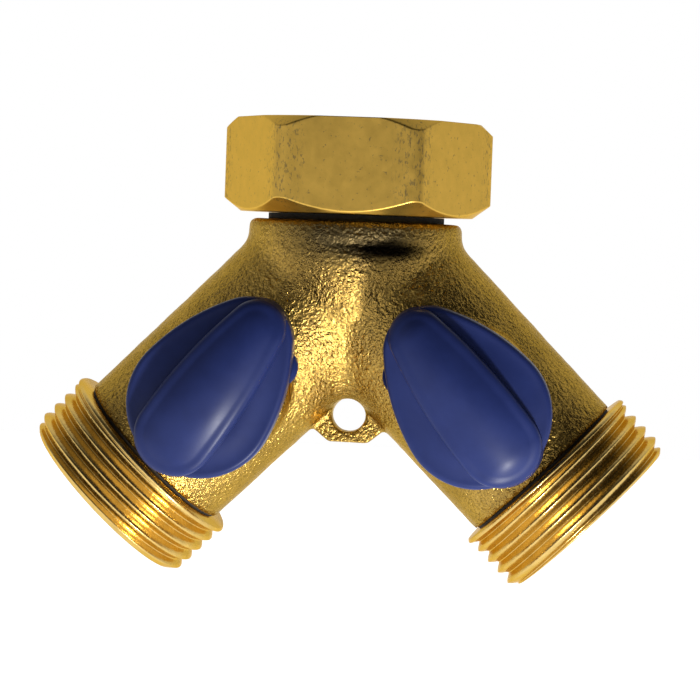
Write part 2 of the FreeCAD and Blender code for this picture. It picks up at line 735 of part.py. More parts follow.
def raise_ridge(body, wings_foot):
    """The finger ridge, wider towards the knob's wide end, with a long domed top."""
    ridge = new_sketch(body, "XY_Plane", "ridge_outline", out=wings_foot)
    end = "(knob_length / 2)"
    outline(ridge, [
        ("ridge_wide", f"ridge_set_back - {end}", "knob_wide_radius", -1),
        ("ridge_narrow", f"{end} - ridge_set_back"),
        ("-ridge_narrow", f"{end} - ridge_set_back", "knob_narrow_radius", -1),
        ("-ridge_wide", f"ridge_set_back - {end}"),
    ])
    filled(body, "ridge", ridge, "ridge_height")
    dome = new_sketch(body, "YZ_Plane", "dome_outline")
    top = f"({wings_foot} + ridge_height)"
    half, above = "(knob_length * 0.6)", f"({top} + ridge_height)"
    shoulder = f"{top} - ridge_dome + sqrt(ridge_dome ^ 2 - {half} ^ 2)"
    outline(dome, [
        (half, above),
        (f"-{half}", above),
        (f"-{half}", shoulder),
        (half, shoulder, "ridge_dome", 1),
    ])
    filled(body, "dome", dome, "knob_length", "Pocket", Midplane=True)
    rounded(body, "ridge_edges", "ridge_rounding", lambda edge: edge.Curve.TypeId == "Part::GeomEllipse")


def hollow_foot(body, side):
    """The stem's socket and the slot that the boss's stop block runs in."""
    socket = new_sketch(body, "XY_Plane", "socket_outline", out="knob_start")
    half = "(stem_square / 2 + socket_gap)"
    rectangle(socket, half, half)
    filled(body, "socket", socket, "stem_top - knob_start + socket_gap", "Pocket")
    slot = new_sketch(body, "XY_Plane", "slot_outline", out="knob_start")
    spread = "(stop_half_angle + stop_slack)"
    if side > 0:
        start, end = f"-90 - {spread}", f"{spread} - 90 + valve_turn"
    else:
        start, end = f"270 - valve_turn - {spread}", f"270 + {spread}"
    ring_sector(slot, "(stop_inner - stop_gap)", "(stop_outer + stop_gap)", start, end)
    filled(body, "stop_slot", slot, "stop_height + stop_gap", "Pocket")


# ---------------------------------------------------------------- the outlets


def outlet(side_name, side):
    """Threaded outlet: a spigot in the arm, a shoulder, the male thread and a hexagon socket."""
    body = new_body(f"{side_name}_outlet")
    shoulder = "(arm_length + joint_seal_height)"
    end = f"({shoulder} + outlet_length)"
    socket_floor = f"({end} - outlet_mouth_depth - hexagon_depth)"
    turned(body, "blank", [
        ("port_radius", "valve_station + seat_back"),
        ("spigot_radius", "valve_station + seat_back"),
        ("spigot_radius", shoulder),
        ("thread_radius", shoulder),
        ("thread_radius", f"{shoulder} + outlet_land"),
        ("root_radius", f"{shoulder} + outlet_land"),
        ("root_radius", end),
        ("outlet_mouth", end),
        ("outlet_mouth", f"{end} - outlet_mouth_depth"),
        ("port_radius", f"{end} - outlet_mouth_depth"),
    ])
    socket = new_sketch(body, "XY_Plane", "hexagon", out=socket_floor)
    corner = "hexagon_flats / sqrt(3)"
    outline(socket, [(f"{corner} * cos({60 * k})", f"{corner} * sin({60 * k})") for k in range(6)])
    filled(body, "socket", socket, "hexagon_depth", "Pocket")
    sunk = "root_radius - crest_rise"
    crest = "thread_radius - crest_rise"
    thread(body, "thread", "AdditiveHelix", [
        (sunk, "-ridge_foot"),
        (crest, "-ridge_shoulder"),
        (crest, "ridge_shoulder", "crest_rounding", -1),
        (sunk, "ridge_foot"),
    ], f"{shoulder} + pitch * 0.4", "outlet_length + pitch")
    clear = "thread_radius * 1.5"
    grooved(body, "mouth_chamfer", [
        ("0", end),
        ("thread_radius - outlet_chamfer", end),
        (clear, f"{end} - outlet_chamfer - {clear} + thread_radius"),
        (clear, f"{end} + pitch * 2"),
        ("0", f"{end} + pitch * 2"),
    ])
    lay_in_arm(body, side)
    return body


def joint_seal(side_name, side):
    """Flat seal between an arm's end and its outlet's shoulder."""
    body = ring(
        f"{side_name}_joint_seal", "spigot_radius", "joint_seal_radius",
        "arm_length", "arm_length + joint_seal_height",
    )
    lay_in_arm(body, side)
    return body


# ---------------------------------------------------------------- the whole


def make_all():
    pieces = [splitter_body(), swivel_nut(), neck_ring(), snap_ring(), inlet_washer()]
    for side_name, side in SIDES:
        pieces.append(outlet(side_name, side))
        pieces.append(joint_seal(side_name, side))
        pieces.append(seat(side_name, side, "inner", -1))
        pieces.append(seat(side_name, side, "outer", 1))
        turned_by = number(f"{side_name}_turn")
        pieces.append(ball(side_name, side, turned_by))
        pieces.append(stem(side_name, side, turned_by))
        pieces.append(thrust_washer(side_name, side, turned_by))
        pieces.append(stem_seal(side_name, side, turned_by, "inner", "seal_low"))
        pieces.append(stem_seal(side_name, side, turned_by, "outer", "seal_high"))
        pieces.append(knob(side_name, side, turned_by))
    document.recompute()
    return pieces


def check(pieces):
    """Stop if any object failed or any piece isn't one valid solid."""
    failed = [item.Name for item in document.Objects if {"Invalid", "Error"} & set(item.State)]
    for piece in pieces:
        if piece.Shape.isNull() or not piece.Shape.isValid() or len(piece.Shape.Solids) != 1:
            failed.append(piece.Label)
    if failed:
        raise RuntimeError(f"failed: {', '.join(failed)}")


def write(pieces):
    os.makedirs("parts", exist_ok=True)
    for piece in pieces:
        piece.Shape.exportStep(os.path.join("parts", f"{piece.Label}.step"))


ALL_PIECES = make_all()
check(ALL_PIECES)
write(ALL_PIECES)
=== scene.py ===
"""The looks of a brass hose splitter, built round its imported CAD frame.

Lengths are in millimetres and become metres where a mesh is made.  The frame is the CAD's:
the inlet's axis is Z, the arms lie in the plane Y = 0, and the knobs face -Y.
"""
import json
import math

import bpy
from mathutils import Matrix, Vector, noise


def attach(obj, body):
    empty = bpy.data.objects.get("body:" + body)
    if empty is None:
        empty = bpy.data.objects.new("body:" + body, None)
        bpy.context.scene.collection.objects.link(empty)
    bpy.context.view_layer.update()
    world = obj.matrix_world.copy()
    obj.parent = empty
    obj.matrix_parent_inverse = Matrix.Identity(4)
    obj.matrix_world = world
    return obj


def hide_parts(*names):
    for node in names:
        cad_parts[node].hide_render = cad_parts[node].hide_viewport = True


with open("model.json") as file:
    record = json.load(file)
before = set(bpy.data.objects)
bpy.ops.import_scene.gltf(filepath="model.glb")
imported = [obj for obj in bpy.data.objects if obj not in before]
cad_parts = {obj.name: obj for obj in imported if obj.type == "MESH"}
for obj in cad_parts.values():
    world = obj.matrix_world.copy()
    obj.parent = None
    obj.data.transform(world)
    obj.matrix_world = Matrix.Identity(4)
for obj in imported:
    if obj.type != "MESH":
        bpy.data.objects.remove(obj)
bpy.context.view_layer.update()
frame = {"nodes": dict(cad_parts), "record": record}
MM = 0.001
SIDES = (("left", -1), ("right", 1))

# Camera: round the object from the front, above the horizon, and tipped about its own axis.
CAMERA_TARGET = Vector((-0.2, 0, -23.5))
CAMERA_AZIMUTH = 4.9
CAMERA_ELEVATION = 2.3
CAMERA_ROLL = 2.1
CAMERA_DISTANCE = 360
CAMERA_LENS = 145.5

# Casting
BRANCH_DEPTH = 12.7
BRANCH_ANGLE = 45
VALVE_STATION = 21.5
COLLAR_FOOT = -9.7
VOXEL = 0.3
LUMP_SIZE = 4
LUMP_HEIGHT = 0.06
GRIT_SIZE = 1.1
GRIT_HEIGHT = 0.03

# Hollow below the collar
HOLLOW_LEAD = 0.3
HOLLOW_INNER = 10
HOLLOW_LEAST = 0.25
HOLLOW_EXTRA = 0.7
HOLLOW_CENTRE = 5
HOLLOW_WIDTH = 4.5
HOLLOW_FADE = 1.5

# G 3/4 thread
PITCH = 1.814
THREAD_RADIUS = 13.22
ROOT_RADIUS = 12.06
FLANK_SLOPE = math.tan(math.radians(27.5))
CREST_EXTRA = 0.42
CREST_ROUNDING = 1.1
ROOT_ROUNDING = 0.4

# Step at the softened edges inside the nut and the outlets
EDGE = 0.05

# Outlet, along its arm from the branch point
SEAL_END = 35.3
LAND_END = 35.8
LAND_SLOPE = 1.8
SHOULDER_CHAMFER = 0.25
THREAD_START = {"left": 0.7, "right": 1.1}
OUTLET_END = 43.7
SPIGOT_START = 29.1
SPIGOT_RADIUS = 9.5
PORT_RADIUS = 4.5
MOUTH_RADIUS = 8
MOUTH_DEPTH = 4
SOCKET_FLATS = 12
SOCKET_DEPTH = 4.5
END_CHAMFER = 1
OUTLET_ROWS = 130
OUTLET_COLUMNS = 240

# Nut, up from its foot
NUT_FOOT = -6.3
NUT_MOUTH = 5.5
NUT_FLATS = 30
NUT_CORNER = 2.5
NUT_TOP = (15.5, 1.35, 1.45)
NUT_BOTTOM = (14.7, 1.7, 2.25)
WASHER_POCKET = 12.6
LAND_TOP = 1.2
NECK_HOLE = 10.05
LIP = 1.5
COUNTERSINK = 2
NUT_COLUMNS = 480

# Knob, above the arm's axis and along its ridge
KNOB_TURN = {"left": 9.5, "right": 5.5}
KNOB_FOOT = 13.2
KNOB_LENGTH = 24.6
SKIRT = (8, 1.5)
WING_HEIGHT = 3.6
RIDGE_HEIGHT = 7.8
SKIRT_POINTS = 180
LUG = (10.3, 2.6, 35)
WING_EGG = (9.1, 5.5, 24.2, 26.0)
WING_SHIFT = 0.3
WING_ROUNDING = 0.7
WING_DISH = 0.7
RIDGE_EGG = (5.0, 3.5, 24.9, 70.0)
RIDGE_ROUNDING = 0.35
RIDGE_BEAD = 0.25
CROWN_RADIUS = 32
CROWN_WIDE = 4.6
CROWN_NARROWING = 1.4
CROWN_FALL = 1.3
CROWN_END = 9.2


# ---------------------------------------------------------------- curves and meshes


def smooth_min(a, b, width):
    """The lesser of two values, with the corner between them rounded over the width."""
    near = max(width - abs(a - b), 0) / width
    return min(a, b) - near * near * width / 4


def smooth_max(a, b, width):
    return -smooth_min(-a, -b, width)


def steps(low, high, count):
    """Evenly spaced values, both ends included."""
    return [low + (high - low) * i / count for i in range(count + 1)]


def polygon_radius(angle, sides, flats, rounding):
    """Distance to the edge of a regular polygon with rounded corners, a corner at angle 0."""
    half = math.pi / sides
    off = abs((angle + half) % (2 * half) - half)
    core = (flats / 2 - rounding) / math.cos(half)
    round_end = math.atan2(rounding * math.sin(half), core + rounding * math.cos(half))
    if off > round_end:
        return flats / 2 / math.cos(half - off)
    return core * math.cos(off) + math.sqrt(rounding**2 - (core * math.sin(off)) ** 2)


def skin(name, loops, closed=False):
    """A smooth mesh through loops of equally many points, given in millimetres."""
    count = len(loops[0])
    points = [Vector(point) * MM for loop in loops for point in loop]
    faces = []
    for row in range(len(loops) if closed else len(loops) - 1):
        here = row * count
        there = (row + 1) % len(loops) * count
        for k in range(count):
            after = (k + 1) % count
            faces.append((here + k, here + after, there + after, there + k))
    if not closed:
        faces.append(tuple(reversed(range(count))))
        faces.append(tuple(range(len(points) - count, len(points))))
    mesh = bpy.data.meshes.new(name)
    mesh.from_pydata(points, [], faces)
    mesh.polygons.foreach_set("use_smooth", [True] * len(faces))
    return mesh


def show(name, mesh, body, material, place=None):
    """Put a mesh in the scene as a piece that rides on a body."""
    if place:
        mesh.transform(place)
    piece = bpy.data.objects.new(name, mesh)
    bpy.context.scene.collection.objects.link(piece)
    mesh.materials.append(material)
    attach(piece, body)
    return piece


def arm_place(side):
    """Where a piece stands in an arm: its own Z runs outwards from the branch point."""
    turn = Matrix.Rotation(side * math.radians(180 - BRANCH_ANGLE), 4, "Y")
    return Matrix.Translation((0, 0, -BRANCH_DEPTH * MM)) @ turn


def valve_place(side, turned_by):
    """A valve's own axes: Z towards the knob, Y up the arm, turned from open by an angle."""
    away = math.radians(BRANCH_ANGLE)
    centre = Vector((side * math.sin(away), 0, -math.cos(away))) * VALVE_STATION
    centre.z -= BRANCH_DEPTH
    turn = Matrix.Rotation(-side * math.radians(BRANCH_ANGLE - turned_by), 4, "Y")
    return Matrix.Translation(centre * MM) @ turn @ Matrix.Rotation(math.radians(90), 4, "X")


# ---------------------------------------------------------------- materials


class Paint:
    """A material's node tree, with short calls for the nodes used here."""

    def __init__(self, name, roughness, metallic=0, **settings):
        self.material = bpy.data.materials.new(name)
        self.material.use_nodes = True
        self.tree = self.material.node_tree
        self.shader = self.tree.nodes["Principled BSDF"]
        self.put(self.shader, "Metallic", metallic)
        self.put(self.shader, "Roughness", roughness)
        for socket, value in settings.items():
            self.put(self.shader, socket.replace("_", " "), value)
        self.place = self.tree.nodes.new("ShaderNodeTexCoord").outputs["Object"]

    def put(self, node, socket, value):
        """Set a socket to a value, or link another node's output to it."""
        if hasattr(value, "is_linked"):
            self.tree.links.new(value, node.inputs[socket])
        else:
            node.inputs[socket].default_value = value

    def node(self, kind, output, **inputs):
        node = self.tree.nodes.new("ShaderNode" + kind)
        for socket, value in inputs.items():
            self.put(node, socket.replace("_", " "), value)
        return node.outputs[output]

    def stretched(self, scale):
        """The place, stretched, for marks that run one way."""
        return self.node("Mapping", "Vector", Vector=self.place, Scale=scale)

    def noise(self, size, detail=3, roughness=0.5, place=None):
        """Noise whose lumps are about so many millimetres across."""
        return self.node(
            "TexNoise", "Fac", Vector=place or self.place, Scale=1 / (size * MM),
            Detail=detail, Roughness=roughness,
        )

    def length(self, vector):
        node = self.tree.nodes.new("ShaderNodeVectorMath")
        node.operation = "LENGTH"
        self.put(node, 0, vector)
        return node.outputs["Value"]

    def spot(self, centre, reach):
        """0 at a place given in millimetres, and 1 at its reach along each axis."""
        scale = [1 / (size * MM) for size in reach]
        start = [-place / size for place, size in zip(centre, reach)]
        return self.length(
            self.node("Mapping", "Vector", Vector=self.place, Location=start, Scale=scale)
        )

    def cells(self, size):
        """Distance from the middle of cells about so many millimetres across."""
        return self.node("TexVoronoi", "Distance", Vector=self.place, Scale=1 / (size * MM))

    def ramp(self, value, low, high, start=0, end=1):
        """A value's range from low to high, stretched to start and end, and held outside it."""
        inputs = {"From Min": low, "From Max": high, "To Min": start, "To Max": end}
        node = self.tree.nodes.new("ShaderNodeMapRange")
        self.put(node, "Value", value)
        for socket, number in inputs.items():
            node.inputs[socket].default_value = number
        return node.outputs["Result"]

    def maths(self, operation, a, b):
        node = self.tree.nodes.new("ShaderNodeMath")
        node.operation = operation
        for socket, value in enumerate((a, b)):
            self.put(node, socket, value)
        return node.outputs[0]

    def mix(self, factor, a, b):
        """A colour between two, each a plain colour or a node's output."""
        node = self.tree.nodes.new("ShaderNodeMix")
        node.data_type = "RGBA"
        self.put(node, 0, factor)
        for socket, colour in ((6, a), (7, b)):
            self.put(node, socket, colour if hasattr(colour, "is_linked") else (*colour, 1))
        return node.outputs[2]

    def colour(self, value):
        self.put(self.shader, "Base Color", value)

    def bump(self, height, depth, strength=1.0, over=None):
        """Relief of so many millimetres, laid over an earlier relief."""
        node = self.tree.nodes.new("ShaderNodeBump")
        self.put(node, "Height", height)
        self.put(node, "Distance", depth * MM)
        self.put(node, "Strength", strength)
        if over:
            self.put(node, "Normal", over)
        self.put(self.shader, "Normal", node.outputs[0])
        return node.outputs[0]


def cast_brass():
    """Sand-cast brass: coarse grain, pits, painted shade across the collar's front and a painted shadow in
    the hollow below the collar.
    """
    paint = Paint("cast_brass", 0.4, 1, Specular_Tint=(0.85, 0.7, 0.4, 1))
    patches = paint.noise(6, 4, 0.6)
    grain = paint.noise(0.46, 2, 0.5)
    specks = paint.noise(0.22, 2, 0.6)
    pits = paint.cells(0.85)
    warm = paint.mix(paint.ramp(patches, 0.35, 0.65), (0.34, 0.215, 0.052), (0.48, 0.305, 0.070))
    dirt = paint.ramp(specks, 0.36, 0.5, 0.7, 0)
    bare = paint.mix(dirt, warm, (0.10, 0.07, 0.03))
    # Painted shade: a broad darkening across the collar's front, where the surface stands unlit
    collar_painted_shade = paint.ramp(paint.spot((1.5, -13, -8.6), (13, 7, 5.5)), 0.4, 1, 0.92, 0)
    shaded_brass = paint.mix(collar_painted_shade, bare, (0.06, 0.045, 0.022))
    # Painted shadow: the hollow below the collar, deepest to the right of centre, is painted nearly black
    hollow_painted_shadow = paint.ramp(paint.spot((6, -13, -10.6), (8, 5, 1.6)), 0.45, 1, 0.98, 0)
    paint.colour(paint.mix(hollow_painted_shadow, shaded_brass, (0.004, 0.003, 0.002)))
    paint.put(paint.shader, "Roughness", paint.ramp(patches, 0.3, 0.7, 0.22, 0.32))
    relief = paint.bump(pits, 0.08, 0.8)
    relief = paint.bump(specks, 0.09, 0.9, relief)
    paint.bump(grain, 0.26, 1.0, relief)
    return paint.material


def nut_brass():
    """Machined brass with fine lines, nicks and a few stains."""
    paint = Paint("nut_brass", 0.35, 1, Specular_Tint=(0.8, 0.68, 0.42, 1))
    stains = paint.noise(1.6, 4, 0.65)
    lines = paint.noise(0.3, 2, 0.5, paint.stretched((1, 1, 0.08)))
    nicks = paint.noise(0.55, 2, 0.7)
    tone = paint.mix(paint.ramp(stains, 0.3, 0.7), (0.60, 0.375, 0.073), (0.69, 0.43, 0.085))
    corner = paint.ramp(paint.length(paint.stretched((1, 1, 0))), 0.0158, 0.0164)
    scrapes = paint.noise(0.32, 3, 0.7, paint.stretched((1, 1, 0.4)))
    chips = paint.ramp(scrapes, 0.36, 0.46, 0.8, 0)
    marks = paint.maths("MULTIPLY", corner, chips)
    marks = paint.maths("MAXIMUM", marks, paint.ramp(nicks, 0.27, 0.36, 0.7, 0))
    paint.colour(paint.mix(marks, tone, (0.22, 0.16, 0.07)))
    paint.put(paint.shader, "Roughness", paint.ramp(stains, 0.3, 0.7, 0.33, 0.4))
    relief = paint.bump(lines, 0.01, 0.3)
    paint.bump(nicks, 0.015, 0.25, relief)
    return paint.material


def thread_brass():
    """Turned brass with lines round the thread and small dents."""
    paint = Paint("thread_brass", 0.28, 1, Specular_Tint=(0.8, 0.6, 0.27, 1))
    patches = paint.noise(2.5, 4, 0.6)
    dents = paint.noise(0.6, 3, 0.6)
    tone = paint.mix(paint.ramp(patches, 0.3, 0.7), (0.58, 0.405, 0.14), (0.70, 0.49, 0.17))
    paint.colour(tone)
    paint.put(paint.shader, "Roughness", paint.ramp(dents, 0.3, 0.7, 0.18, 0.3))
    paint.bump(dents, 0.07, 0.5)
    return paint.material


def knob_plastic():
    """Dark blue moulded plastic with a faint grain."""
    paint = Paint("knob_plastic", 0.42, 0, Specular_IOR_Level=0.14)
    cloud = paint.noise(5, 3, 0.6)
    grain = paint.noise(0.25, 2)
    tone = paint.mix(paint.ramp(cloud, 0.3, 0.7), (0.011, 0.018, 0.078), (0.014, 0.023, 0.098))
    paint.colour(tone)
    paint.put(paint.shader, "Roughness", paint.ramp(cloud, 0.3, 0.7, 0.34, 0.42))
    paint.bump(grain, 0.01, 0.3)
    return paint.material


def plain(name, low, high, size, roughness, metallic=0, depth=0.01):
    """A finish for small pieces: two close tones in patches, with a fine relief."""
    paint = Paint(name, roughness, metallic)
    cloud = paint.noise(size * 8, 3)
    grain = paint.noise(size, 2)
    paint.colour(paint.mix(paint.ramp(cloud, 0.35, 0.65), low, high))
    paint.put(paint.shader, "Roughness", paint.ramp(grain, 0.3, 0.7, roughness * 0.9, roughness * 1.1))
    paint.bump(grain, depth, 0.3)
    return paint.material


# ---------------------------------------------------------------- pieces


def from_crest(along, angle, start):
    """Distance along the axis to the nearest crest of a right-hand thread."""
    turn = (along - start) / PITCH - angle / (2 * math.pi)
    return abs((turn + 0.5) % 1 - 0.5) * PITCH


def thread_radius_at(along, angle, start):
    """Radius of a right-hand male thread: flanks with a rounded crest and root."""
    sharp = THREAD_RADIUS + CREST_EXTRA - from_crest(along, angle, start) / FLANK_SLOPE
    crest = smooth_min(sharp, THREAD_RADIUS, CREST_ROUNDING)
    return smooth_max(crest, ROOT_RADIUS, ROOT_ROUNDING)


def outlet_section(angle, rows, crest):
    """(radius, along) round an outlet's wall, at an angle about its axis."""
    outside = []
    for along in rows:
        radius = thread_radius_at(along, angle, crest)
        land = THREAD_RADIUS - max(along - LAND_END, 0) * LAND_SLOPE
        radius = smooth_max(radius, land, 0.2)
        chamfer = THREAD_RADIUS - END_CHAMFER + OUTLET_END - along
        shoulder = THREAD_RADIUS - SHOULDER_CHAMFER + (along - SEAL_END)
        outside.append((smooth_min(smooth_min(radius, chamfer, 0.15), shoulder, 0.15), along))
    hexagon = polygon_radius(angle, 6, SOCKET_FLATS, 0.2)
    socket_mouth = OUTLET_END - MOUTH_DEPTH
    socket_floor = socket_mouth - SOCKET_DEPTH
    inside = [
        (MOUTH_RADIUS + 0.3, OUTLET_END), (MOUTH_RADIUS + 0.1, OUTLET_END - 0.1),
        (MOUTH_RADIUS, OUTLET_END - 0.3), (MOUTH_RADIUS, socket_mouth + EDGE),
        (MOUTH_RADIUS - EDGE, socket_mouth), (hexagon + EDGE, socket_mouth),
        (hexagon, socket_mouth - EDGE), (hexagon, socket_floor + EDGE),
        (hexagon - EDGE, socket_floor), (PORT_RADIUS + EDGE, socket_floor),
        (PORT_RADIUS, socket_floor - EDGE), (PORT_RADIUS, SPIGOT_START + EDGE),
        (PORT_RADIUS + EDGE, SPIGOT_START), (SPIGOT_RADIUS - EDGE, SPIGOT_START),
        (SPIGOT_RADIUS, SPIGOT_START + EDGE), (SPIGOT_RADIUS, SEAL_END - EDGE),
        (SPIGOT_RADIUS + EDGE, SEAL_END),
    ]
    return outside + inside


def revolved(name, section, columns):
    """A closed mesh round the Z axis whose section may differ with the angle."""
    loops = []
    for k in range(columns):
        angle = 2 * math.pi * k / columns
        across, up = math.cos(angle), math.sin(angle)
        loops.append([(radius * across, radius * up, along) for radius, along in section(angle)])
    return skin(name, loops, closed=True)


def outlet(side_name, side, material):
    """The screwed-in end of an arm, with its male thread and its hexagon socket."""
    name = f"{side_name}_outlet_turned"
    rows = steps(SEAL_END, OUTLET_END, OUTLET_ROWS)
    crest = SEAL_END + PITCH * THREAD_START[side_name]
    mesh = revolved(name, lambda angle: outlet_section(angle, rows, crest), OUTLET_COLUMNS)
    piece = show(name, mesh, "body", material, arm_place(side))
    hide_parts(f"{side_name}_outlet")


def nut_section(angle, rows):
    """(radius, height) round the nut's wall, at an angle about its axis."""
    hexagon = polygon_radius(angle, 6, NUT_FLATS, NUT_CORNER)
    outside = []
    for height in rows:
        top_circle, top_fall, top_reach = NUT_TOP
        foot_circle, foot_rise, foot_reach = NUT_BOTTOM
        top = top_circle + (NUT_MOUTH - height) * top_reach / top_fall
        foot = foot_circle + (height - NUT_FOOT) * foot_reach / foot_rise
        outside.append((smooth_min(smooth_min(hexagon, top, 0.06), foot, 0.06), height))
    inside = [(ROOT_RADIUS + 2.1, NUT_MOUTH), (ROOT_RADIUS + COUNTERSINK, NUT_MOUTH)]
    for height in steps(NUT_MOUTH - EDGE, LAND_TOP, 56):
        groove = ROOT_RADIUS - 0.1 + from_crest(height, angle, LAND_TOP) / FLANK_SLOPE
        groove = smooth_min(smooth_max(groove, ROOT_RADIUS + 0.18, 0.3), THREAD_RADIUS + 0.08, 0.3)
        countersink = ROOT_RADIUS + COUNTERSINK - (NUT_MOUTH - height) * 1.2
        inside.append((smooth_max(groove, countersink, 0.2), height))
    inside += [
        (ROOT_RADIUS, LAND_TOP - EDGE), (ROOT_RADIUS, EDGE), (ROOT_RADIUS + EDGE, 0),
        (WASHER_POCKET, 0), (WASHER_POCKET, NUT_FOOT + LIP), (NECK_HOLE + EDGE, NUT_FOOT + LIP),
        (NECK_HOLE, NUT_FOOT + LIP - EDGE), (NECK_HOLE, NUT_FOOT + EDGE), (NECK_HOLE + EDGE, NUT_FOOT),
    ]
    return outside + inside


def nut(material):
    """The swivel nut, with closer rows of points where its chamfers curve."""
    rows = steps(NUT_FOOT, NUT_FOOT + 2.6, 30) + steps(NUT_FOOT + 2.8, NUT_MOUTH - 2.4, 8)
    rows += steps(NUT_MOUTH - 2.2, NUT_MOUTH, 26)
    mesh = revolved("swivel_nut_turned", lambda angle: nut_section(angle, rows), NUT_COLUMNS)
    piece = show("swivel_nut_turned", mesh, "nut", material)
    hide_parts("swivel_nut")


def under_collar(x, y, z):
    """Depth of the shallow hollow below the collar, front and back, deeper on the right."""
    below = COLLAR_FOOT - z
    if below < -HOLLOW_LEAD or math.hypot(x, y) < HOLLOW_INNER:
        return 0
    facing = min(abs(y) / math.hypot(x, y), 1) ** 4
    deep = HOLLOW_LEAST + HOLLOW_EXTRA * math.exp(-(((x - HOLLOW_CENTRE) / HOLLOW_WIDTH) ** 2))
    start = min((below + HOLLOW_LEAD) / (2 * HOLLOW_LEAD), 1)
    return facing * deep * start * math.exp(-max(below, 0) / HOLLOW_FADE)


def casting(material):
    """The CAD casting, remeshed so that its edges soften, with a cast surface's unevenness."""
    cad = frame["nodes"]["splitter_body"]
    mesh = cad.data.copy()
    mesh.materials.clear()
    piece = show("splitter_casting", mesh, "body", material)
    remesh = piece.modifiers.new("even_grid", "REMESH")
    remesh.mode = "VOXEL"
    remesh.voxel_size = VOXEL * MM
    remesh.use_smooth_shade = True
    soften = piece.modifiers.new("soft_edges", "SMOOTH")
    soften.factor = 0.5
    soften.iterations = 4
    piece.data = bpy.data.meshes.new_from_object(
        piece.evaluated_get(bpy.context.evaluated_depsgraph_get())
    )
    piece.modifiers.clear()
    places = [vertex.co.copy() for vertex in piece.data.vertices]
    normals = [normal.vector.copy() for normal in piece.data.vertex_normals]
    for vertex, place, normal in zip(piece.data.vertices, places, normals):
        broad = noise.noise(place / (LUMP_SIZE * MM))
        fine = noise.noise(place / (GRIT_SIZE * MM))
        raised = broad * LUMP_HEIGHT + fine * GRIT_HEIGHT - under_collar(*(place / MM))
        vertex.co = place + normal * raised * MM
    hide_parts("splitter_body")


def egg_arcs(wide, narrow, length, long):
    """Centres of an egg's round ends, place of its long arcs' centres, and where the arcs meet."""
    low, high = wide - length / 2, length / 2 - narrow
    apart = high - low
    to_wide, to_narrow = long - wide, long - narrow
    drop = (to_narrow**2 - to_wide**2 - apart**2) / (2 * apart)
    reach = math.sqrt(to_wide**2 - drop**2)
    first = math.atan2(reach, drop + apart)
    last = math.atan2(reach, drop)
    return low, high, drop, reach, first, last


def egg(normals, wide, narrow, length, long, inset):
    """Points of an egg outline, inset from its edge, at the given directions of its normal.

    The egg has a wide and a narrow round end joined by long arcs tangent to both, and its
    narrow end points along +Y.  A normal's direction is measured from +Y, clockwise.
    """
    low, high, drop, reach, first, last = egg_arcs(wide, narrow, length, long)
    points = []
    for normal in normals:
        side = 1 if math.sin(normal) >= 0 else -1
        from_tip = math.acos(max(-1, min(1, math.cos(normal))))
        if from_tip < first:
            centre, radius = (0, high), narrow
        elif from_tip < last:
            centre, radius = (-side * reach, low - drop), long
        else:
            centre, radius = (0, low), wide
        radius -= inset
        points.append((
            centre[0] + radius * math.sin(normal),
            centre[1] + radius * math.cos(normal),
        ))
    return points


def egg_normals(wide, narrow, length, long, count):
    """Directions of the normal that space an egg's points about evenly."""
    first, last = egg_arcs(wide, narrow, length, long)[-2:]
    half = (
        steps(0, first, count)[:-1] + steps(first, last, count)[:-1]
        + steps(last, math.pi, count)
    )
    return half + [2 * math.pi - normal for normal in reversed(half[1:-1])]


def domed(name, egg_shape, rings, count, shrink):
    """A closed shell over an egg outline.

    rings gives (inset, height function) from the foot up to the start of the top.  The top's
    rings then shrink towards the middle, where they end in a small cap.
    """
    normals = egg_normals(*egg_shape, count)
    loops = []
    for inset, height in rings:
        loops.append([(x, y, height(x, y)) for x, y in egg(normals, *egg_shape, inset)])
    inset, height = rings[-1]
    edge = egg(normals, *egg_shape, inset)
    for share in shrink:
        loops.append([(x * share, y * share, height(x * share, y * share)) for x, y in edge])
    return skin(name, loops)


def level(height):
    """A height that is the same all over."""
    return lambda x, y: height


def rounded_edge(radius, turns):
    """(inset, rise) round a quarter circle from upright to level, ending at no rise."""
    return [
        (radius * (1 - math.cos(math.radians(turn))), radius * (math.sin(math.radians(turn)) - 1))
        for turn in turns
    ]


def dished(depth, share):
    """A depth reached smoothly as the share of the way goes from 0 to 1."""
    return depth * share * share * (3 - 2 * share)


def knob_wings(name, base, rim):
    """The egg-shaped plate, rounded at its edge and raised towards the ridge."""
    rings = [(0.9, level(base)), (0.3, level(base + 0.05)), (0, level(base + 0.4))]
    rings.append((0, level(rim - 0.8)))
    for out, up in rounded_edge(WING_ROUNDING, steps(0, 90, 6)[1:]):
        rings.append((out, level(rim - 0.1 + up)))
    for inset in steps(0.9, 4.4, 12):
        dip = dished(-WING_DISH, (inset - WING_ROUNDING) / 3.7)
        rings.append((inset, level(rim - 0.1 - dip)))
    mesh = domed(name, WING_EGG, rings, 40, steps(0.95, 0.02, 8))
    mesh.transform(Matrix.Translation((0, WING_SHIFT * MM, 0)))
    return mesh


def crown(top, drop):
    """Height of the ridge's top at any place, lowered by a drop."""
    def height(x, y):
        dome = math.sqrt(CROWN_RADIUS**2 - y**2) - CROWN_RADIUS
        width = CROWN_WIDE - (y + KNOB_LENGTH / 2) / KNOB_LENGTH * CROWN_NARROWING
        across = (x / width) ** 2
        end = max(abs(y) - CROWN_END, 0)
        return top + dome - CROWN_FALL * across - 0.12 * end * end - drop

    return height


def knob_ridge(name, base, rim, top):
    """The finger ridge, with a bead round its edge."""
    rings = [(-0.25, level(base + 1)), (-0.15, level(rim - 1)), (-0.02, crown(top, 0.6))]
    for out, up in rounded_edge(RIDGE_ROUNDING, steps(0, 90, 5)):
        rings.append((out, crown(top, -up)))
    for inset in steps(0.45, 1.5, 8):
        dip = dished(RIDGE_BEAD, (inset - RIDGE_ROUNDING) / 1.15)
        rings.append((inset, crown(top, dip)))
    return domed(name, RIDGE_EGG, rings, 40, steps(0.96, 0.02, 24))


